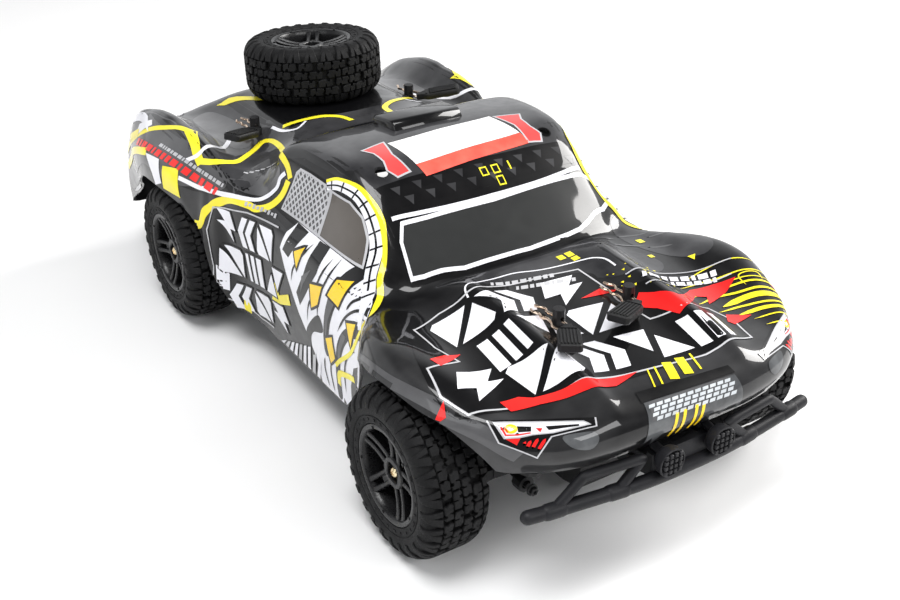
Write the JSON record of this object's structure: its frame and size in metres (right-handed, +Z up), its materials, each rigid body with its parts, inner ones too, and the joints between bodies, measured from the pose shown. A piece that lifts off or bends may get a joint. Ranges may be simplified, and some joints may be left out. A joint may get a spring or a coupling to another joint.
{
  "type": "radio-controlled short-course truck",
  "caption": "Four-wheel-drive model truck with a removable printed shell, sprung wishbone suspension, linked steering, a tube bumper and a spare wheel on its bed.",
  "frame": {"origin": "bottom centre of the bounding box, on the ground", "axes": "-Y is the truck's front, +X its left side, +Z up"},
  "size_m": [0.227, 0.4676, 0.1617],
  "materials": {
    "shell": "gloss printed film inside clear plastic",
    "tyre": "matt moulded rubber",
    "rim": "satin moulded plastic",
    "nylon": "matt glass-filled nylon",
    "bumper": "fine-grained matt plastic",
    "steel": "bright wire and ground rod",
    "motor": "plated can",
    "brass": "plain brass",
    "shock": "satin anodised",
    "battery": "shrink wrap",
    "controller": "moulded case",
    "servo": "moulded case",
    "gear": "natural acetal"
  },
  "bodies": {
    "chassis": {"chassis_tub": "nylon", "front_gearbox": "nylon", "rear_gearbox": "nylon", "front_shock_tower": "nylon", "rear_shock_tower": "nylon", "battery_pack": "battery", "speed_controller": "controller", "drive_motor": "motor", "steering_servo": "servo", "front_bumper": "bumper", "front_body_mount": "nylon", "rear_body_mount": "nylon", "body_shell": "shell", "spare_tyre": "tyre", "spare_rim": "rim"},
    "driveline": {"spur_gear": "gear", "centre_shaft": "steel"},
    "motor_pinion": {"motor_pinion": "brass"},
    "steering_link": {"steering_centre_link": "nylon"},
    "servo_horn": {"servo_horn": "nylon"},
    "tie_rod_left": {"tie_rod_left": "steel"},
    "tie_rod_right": {"tie_rod_right": "steel"},
    "front_left_arm": {"front_left_lower_arm": "nylon"},
    "front_left_carrier": {"front_left_hub_carrier": "nylon"},
    "front_left_camber_link": {"front_left_camber_link": "nylon"},
    "front_left_shock_body": {"front_left_shock_body": "shock"},
    "front_left_shock_rod": {"front_left_shock_rod": "steel"},
    "front_left_wheel": {"front_left_tyre": "tyre", "front_left_rim": "rim", "front_left_axle": "brass"},
    "front_left_knuckle": {"front_left_steering_knuckle": "nylon"},
    "front_right_arm": {"front_right_lower_arm": "nylon"},
    "front_right_carrier": {"front_right_hub_carrier": "nylon"},
    "front_right_camber_link": {"front_right_camber_link": "nylon"},
    "front_right_shock_body": {"front_right_shock_body": "shock"},
    "front_right_shock_rod": {"front_right_shock_rod": "steel"},
    "front_right_wheel": {"front_right_tyre": "tyre", "front_right_rim": "rim", "front_right_axle": "brass"},
    "front_right_knuckle": {"front_right_steering_knuckle": "nylon"},
    "rear_left_arm": {"rear_left_lower_arm": "nylon"},
    "rear_left_carrier": {"rear_left_hub_carrier": "nylon"},
    "rear_left_camber_link": {"rear_left_camber_link": "nylon"},
    "rear_left_shock_body": {"rear_left_shock_body": "shock"},
    "rear_left_shock_rod": {"rear_left_shock_rod": "steel"},
    "rear_left_wheel": {"rear_left_tyre": "tyre", "rear_left_rim": "rim", "rear_left_axle": "brass"},
    "rear_right_arm": {"rear_right_lower_arm": "nylon"},
    "rear_right_carrier": {"rear_right_hub_carrier": "nylon"},
    "rear_right_camber_link": {"rear_right_camber_link": "nylon"},
    "rear_right_shock_body": {"rear_right_shock_body": "shock"},
    "rear_right_shock_rod": {"rear_right_shock_rod": "steel"},
    "rear_right_wheel": {"rear_right_tyre": "tyre", "rear_right_rim": "rim", "rear_right_axle": "brass"},
    "front_left_body_clip": {"front_left_body_clip": "steel"},
    "front_right_body_clip": {"front_right_body_clip": "steel"},
    "rear_left_body_clip": {"rear_left_body_clip": "steel"},
    "rear_right_body_clip": {"rear_right_body_clip": "steel"}
  },
  "joints": [
    {"name": "front_left_suspension", "type": "hinge", "parent": "chassis", "child": "front_left_arm", "pos_m": [0.022, -0.1493, 0.03], "axis": [0, -1, 0], "range_deg": [-15, 3], "stiffness_Nm_per_rad": 1, "springref_deg": -5.16},
    {"name": "front_left_carrier_pivot", "type": "hinge", "parent": "front_left_arm", "child": "front_left_carrier", "pos_m": [0.064, -0.1493, 0.0275], "axis": [0, -1, 0], "range_deg": [-3.5, 15.5]},
    {"name": "front_left_camber_pivot", "type": "hinge", "parent": "chassis", "child": "front_left_camber_link", "pos_m": [0.024, -0.1528, 0.0625], "axis": [0, -1, 0], "range_deg": [-15.5, 3.5]},
    {"name": "front_left_shock_swing", "type": "hinge", "parent": "chassis", "child": "front_left_shock_body", "pos_m": [0.034, -0.1718, 0.078], "axis": [0, -1, 0], "range_deg": [-4, 1]},
    {"name": "front_left_shock_stroke", "type": "slide", "parent": "front_left_shock_body", "child": "front_left_shock_rod", "axis": [0.3064, 0, -0.9519], "range_m": [-0.0015, 0.007]},
    {"name": "steering", "type": "hinge", "parent": "front_left_carrier", "child": "front_left_knuckle", "pos_m": [0.07, -0.1493, 0.0425], "axis": [0, 0, 1], "range_deg": [-20, 20]},
    {"name": "front_left_wheel_spin", "type": "hinge", "parent": "front_left_knuckle", "child": "front_left_wheel", "pos_m": [0.096, -0.1493, 0.0425], "axis": [1, 0, 0], "continuous": true},
    {"name": "front_right_suspension", "type": "hinge", "parent": "chassis", "child": "front_right_arm", "pos_m": [-0.022, -0.1493, 0.03], "axis": [0, 1, 0], "range_deg": [-15, 3], "stiffness_Nm_per_rad": 1, "springref_deg": -5.16},
    {"name": "front_right_carrier_pivot", "type": "hinge", "parent": "front_right_arm", "child": "front_right_carrier", "pos_m": [-0.064, -0.1493, 0.0275], "axis": [0, 1, 0], "range_deg": [-3.5, 15.5]},
    {"name": "front_right_camber_pivot", "type": "hinge", "parent": "chassis", "child": "front_right_camber_link", "pos_m": [-0.024, -0.1528, 0.0625], "axis": [0, 1, 0], "range_deg": [-15.5, 3.5]},
    {"name": "front_right_shock_swing", "type": "hinge", "parent": "chassis", "child": "front_right_shock_body", "pos_m": [-0.034, -0.1718, 0.078], "axis": [0, 1, 0], "range_deg": [-4, 1]},
    {"name": "front_right_shock_stroke", "type": "slide", "parent": "front_right_shock_body", "child": "front_right_shock_rod", "axis": [-0.3064, 0, -0.9519], "range_m": [-0.0015, 0.007]},
    {"name": "front_right_kingpin", "type": "hinge", "parent": "front_right_carrier", "child": "front_right_knuckle", "pos_m": [-0.07, -0.1493, 0.0425], "axis": [0, 0, 1], "range_deg": [-20.5, 20.5]},
    {"name": "front_right_wheel_spin", "type": "hinge", "parent": "front_right_knuckle", "child": "front_right_wheel", "pos_m": [-0.096, -0.1493, 0.0425], "axis": [1, 0, 0], "continuous": true},
    {"name": "rear_left_suspension", "type": "hinge", "parent": "chassis", "child": "rear_left_arm", "pos_m": [0.022, 0.1207, 0.03], "axis": [0, -1, 0], "range_deg": [-15, 1.5], "stiffness_Nm_per_rad": 1, "springref_deg": -5.16},
    {"name": "rear_left_carrier_pivot", "type": "hinge", "parent": "rear_left_arm", "child": "rear_left_carrier", "pos_m": [0.064, 0.1207, 0.0275], "axis": [0, -1, 0], "range_deg": [-2, 15.5]},
    {"name": "rear_left_camber_pivot", "type": "hinge", "parent": "chassis", "child": "rear_left_camber_link", "pos_m": [0.024, 0.1242, 0.0625], "axis": [0, -1, 0], "range_deg": [-15.5, 2]},
    {"name": "rear_left_shock_swing", "type": "hinge", "parent": "chassis", "child": "rear_left_shock_body", "pos_m": [0.034, 0.1432, 0.078], "axis": [0, -1, 0], "range_deg": [-4, 1]},
    {"name": "rear_left_shock_stroke", "type": "slide", "parent": "rear_left_shock_body", "child": "rear_left_shock_rod", "axis": [0.3064, 0, -0.9519], "range_m": [-0.0015, 0.007]},
    {"name": "rear_left_wheel_spin", "type": "hinge", "parent": "rear_left_carrier", "child": "rear_left_wheel", "pos_m": [0.096, 0.1207, 0.0425], "axis": [1, 0, 0], "continuous": true},
    {"name": "rear_right_suspension", "type": "hinge", "parent": "chassis", "child": "rear_right_arm", "pos_m": [-0.022, 0.1207, 0.03], "axis": [0, 1, 0], "range_deg": [-15, 1.5], "stiffness_Nm_per_rad": 1, "springref_deg": -5.16},
    {"name": "rear_right_carrier_pivot", "type": "hinge", "parent": "rear_right_arm", "child": "rear_right_carrier", "pos_m": [-0.064, 0.1207, 0.0275], "axis": [0, 1, 0], "range_deg": [-2, 15.5]},
    {"name": "rear_right_camber_pivot", "type": "hinge", "parent": "chassis", "child": "rear_right_camber_link", "pos_m": [-0.024, 0.1242, 0.0625], "axis": [0, 1, 0], "range_deg": [-15.5, 2]},
    {"name": "rear_right_shock_swing", "type": "hinge", "parent": "chassis", "child": "rear_right_shock_body", "pos_m": [-0.034, 0.1432, 0.078], "axis": [0, 1, 0], "range_deg": [-4, 1]},
    {"name": "rear_right_shock_stroke", "type": "slide", "parent": "rear_right_shock_body", "child": "rear_right_shock_rod", "axis": [-0.3064, 0, -0.9519], "range_m": [-0.0015, 0.007]},
    {"name": "rear_right_wheel_spin", "type": "hinge", "parent": "rear_right_carrier", "child": "rear_right_wheel", "pos_m": [-0.096, 0.1207, 0.0425], "axis": [1, 0, 0], "continuous": true},
    {"name": "steering_link_slide", "type": "slide", "parent": "chassis", "child": "steering_link", "axis": [1, 0, 0], "range_m": [-0.005, 0.005]},
    {"name": "servo_horn_pivot", "type": "hinge", "parent": "chassis", "child": "servo_horn", "pos_m": [0.01, -0.1158, 0.0571], "axis": [0, 0, 1], "range_deg": [-20.5, 20.5]},
    {"name": "tie_rod_left_pivot", "type": "hinge", "parent": "steering_link", "child": "tie_rod_left", "pos_m": [0.028, -0.1353, 0.054], "axis": [0, -1, 0], "range_deg": [-15.5, 3.5]},
    {"name": "tie_rod_right_pivot", "type": "hinge", "parent": "steering_link", "child": "tie_rod_right", "pos_m": [-0.028, -0.1353, 0.054], "axis": [0, 1, 0], "range_deg": [-15.5, 3.5]},
    {"name": "driveline_spin", "type": "hinge", "parent": "chassis", "child": "driveline", "pos_m": [0, -0.0143, 0.038], "axis": [0, 1, 0], "continuous": true},
    {"name": "motor_spin", "type": "hinge", "parent": "chassis", "child": "motor_pinion", "pos_m": [-0.022, 0.0457, 0.038], "axis": [0, 1, 0], "continuous": true},
    {"name": "front_left_body_clip_pull", "type": "slide", "parent": "chassis", "child": "front_left_body_clip", "axis": [0, -1, 0], "range_m": [0, 0.02]},
    {"name": "front_right_body_clip_pull", "type": "slide", "parent": "chassis", "child": "front_right_body_clip", "axis": [0, -1, 0], "range_m": [0, 0.02]},
    {"name": "rear_left_body_clip_pull", "type": "slide", "parent": "chassis", "child": "rear_left_body_clip", "axis": [0, -1, 0], "range_m": [0, 0.02]},
    {"name": "rear_right_body_clip_pull", "type": "slide", "parent": "chassis", "child": "rear_right_body_clip", "axis": [0, -1, 0], "range_m": [0, 0.02]}
  ],
  "couplings": [
    {"joint": "front_left_carrier_pivot", "follows": "front_left_suspension", "ratio": -1},
    {"joint": "front_left_camber_pivot", "follows": "front_left_suspension", "ratio": 1},
    {"joint": "front_left_shock_swing", "follows": "front_left_suspension", "ratio": 0.22},
    {"joint": "front_left_shock_stroke", "follows": "front_left_suspension", "m_per_rad": -0.0254},
    {"joint": "front_right_carrier_pivot", "follows": "front_right_suspension", "ratio": -1},
    {"joint": "front_right_camber_pivot", "follows": "front_right_suspension", "ratio": 1},
    {"joint": "front_right_shock_swing", "follows": "front_right_suspension", "ratio": 0.22},
    {"joint": "front_right_shock_stroke", "follows": "front_right_suspension", "m_per_rad": -0.0254},
    {"joint": "front_right_kingpin", "follows": "steering", "ratio": 1},
    {"joint": "rear_left_carrier_pivot", "follows": "rear_left_suspension", "ratio": -1},
    {"joint": "rear_left_camber_pivot", "follows": "rear_left_suspension", "ratio": 1},
    {"joint": "rear_left_shock_swing", "follows": "rear_left_suspension", "ratio": 0.22},
    {"joint": "rear_left_shock_stroke", "follows": "rear_left_suspension", "m_per_rad": -0.0254},
    {"joint": "rear_right_carrier_pivot", "follows": "rear_right_suspension", "ratio": -1},
    {"joint": "rear_right_camber_pivot", "follows": "rear_right_suspension", "ratio": 1},
    {"joint": "rear_right_shock_swing", "follows": "rear_right_suspension", "ratio": 0.22},
    {"joint": "rear_right_shock_stroke", "follows": "rear_right_suspension", "m_per_rad": -0.0254},
    {"joint": "steering_link_slide", "follows": "steering", "m_per_rad": -0.0138},
    {"joint": "servo_horn_pivot", "follows": "steering", "ratio": -1},
    {"joint": "tie_rod_left_pivot", "follows": "front_left_suspension", "ratio": 1},
    {"joint": "tie_rod_right_pivot", "follows": "front_right_suspension", "ratio": 1},
    {"joint": "motor_spin", "follows": "driveline_spin", "ratio": -2.6667}
  ]
}
